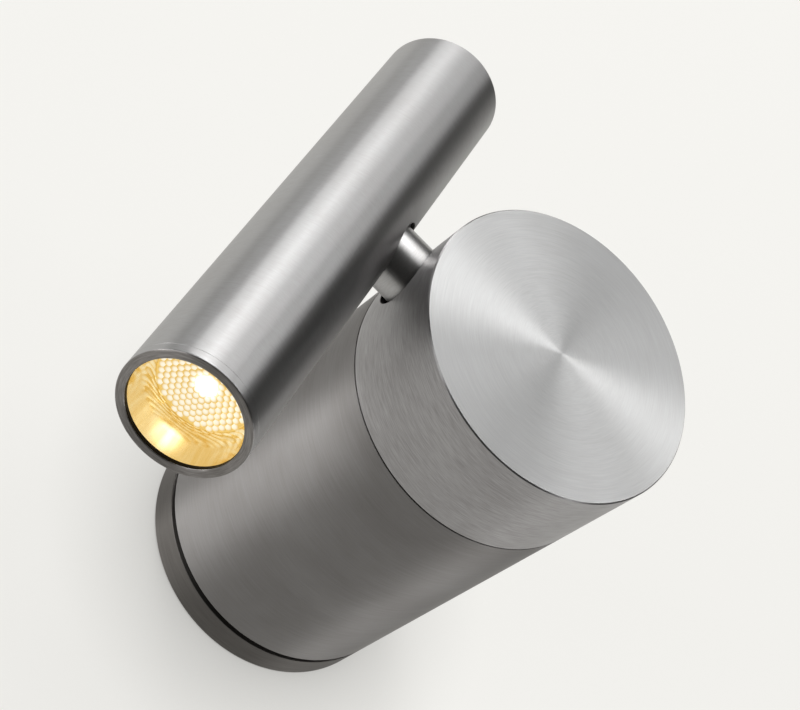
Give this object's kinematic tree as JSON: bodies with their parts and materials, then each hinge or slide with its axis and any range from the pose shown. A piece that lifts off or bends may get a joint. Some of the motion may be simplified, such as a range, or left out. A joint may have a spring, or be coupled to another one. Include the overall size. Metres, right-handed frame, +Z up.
{
  "type": "wall light",
  "caption": "Round wall light body with a turning front head that carries a slim tube spot lamp on a short side arm; the tube swivels to aim its recessed honeycomb lens.",
  "frame": {"origin": "centre of the wall base's back face, on the wall", "axes": "-Y out of the wall along the body, +Y into the wall, +Z up, +X to the right as seen from the room; the tube lamp is on the -X side"},
  "size_m": [0.089, 0.116, 0.1255],
  "materials": {
    "satin_steel": "satin brushed",
    "turned_steel": "turned on a lathe, radial sheen",
    "polished_steel": "fine polished",
    "screw_steel": "zinc plated",
    "spring_steel": "dark spring steel",
    "plain_aluminium": "machined",
    "turned_brass": "turned",
    "black_rubber": "matte",
    "black_plastic": "moulded, matte",
    "white_plastic": "moulded, matte",
    "nylon": "smooth",
    "lead_sleeve": "soft sheath",
    "brown_wire": "soft sheath",
    "gold_reflector": "mirror-bright gold metallising",
    "lens_plastic": "clear lenslets, lit from behind",
    "clear_plastic": "clear, polished",
    "chip_yellow": "phosphor",
    "board_white": "white solder mask",
    "pad_grey": "soft"
  },
  "bodies": {
    "base": {"wall_plate": "screw_steel", "base_ring": "satin_steel", "cable_grommet": "black_rubber", "earth_screw": "turned_brass", "gap_seal": "black_plastic", "body_shell": "satin_steel", "body_grub_screws": "screw_steel", "bearing_plate": "plain_aluminium", "plate_circlip": "spring_steel", "head_stop_pin": "screw_steel", "terminal_block": "white_plastic", "terminal_screws": "screw_steel", "tray_posts": "plain_aluminium", "driver_tray": "plain_aluminium", "tray_screws": "screw_steel", "driver": "white_plastic", "driver_tie": "nylon", "supply_leads": "brown_wire", "driver_lead": "lead_sleeve"},
    "head": {"head_shell": "turned_steel", "head_plate": "plain_aluminium", "head_plate_screws": "screw_steel", "spindle": "turned_brass", "glide_ring": "nylon", "spindle_washer": "nylon", "spindle_disc_spring": "spring_steel", "spindle_nut": "turned_brass", "swivel_block": "plain_aluminium", "swivel_block_screws": "screw_steel", "swivel_stop_pin": "screw_steel", "head_lead": "lead_sleeve"},
    "spot": {"arm": "polished_steel", "arm_washer": "nylon", "arm_disc_spring": "spring_steel", "swivel_stop_washer": "screw_steel", "arm_nut": "turned_brass", "arm_grub_screw": "screw_steel", "spot_tube": "satin_steel", "rear_cap": "turned_steel", "front_bezel": "satin_steel", "reflector": "gold_reflector", "honeycomb_lens": "lens_plastic", "collimator": "clear_plastic", "lens_holder": "black_plastic", "led_chip": "chip_yellow", "led_board": "board_white", "led_screws": "screw_steel", "thermal_pad": "pad_grey", "heat_sink": "plain_aluminium", "spot_lead": "lead_sleeve"}
  },
  "joints": [
    {"name": "head_turn", "type": "hinge", "parent": "base", "child": "head", "pos_m": [0, -0.0805, 0], "axis": [0, -1, 0], "range_deg": [-165, 165]},
    {"name": "spot_swivel", "type": "hinge", "parent": "head", "child": "spot", "pos_m": [-0.0465, -0.0914, 0], "axis": [-1, 0, 0], "range_deg": [-170, 150]}
  ]
}
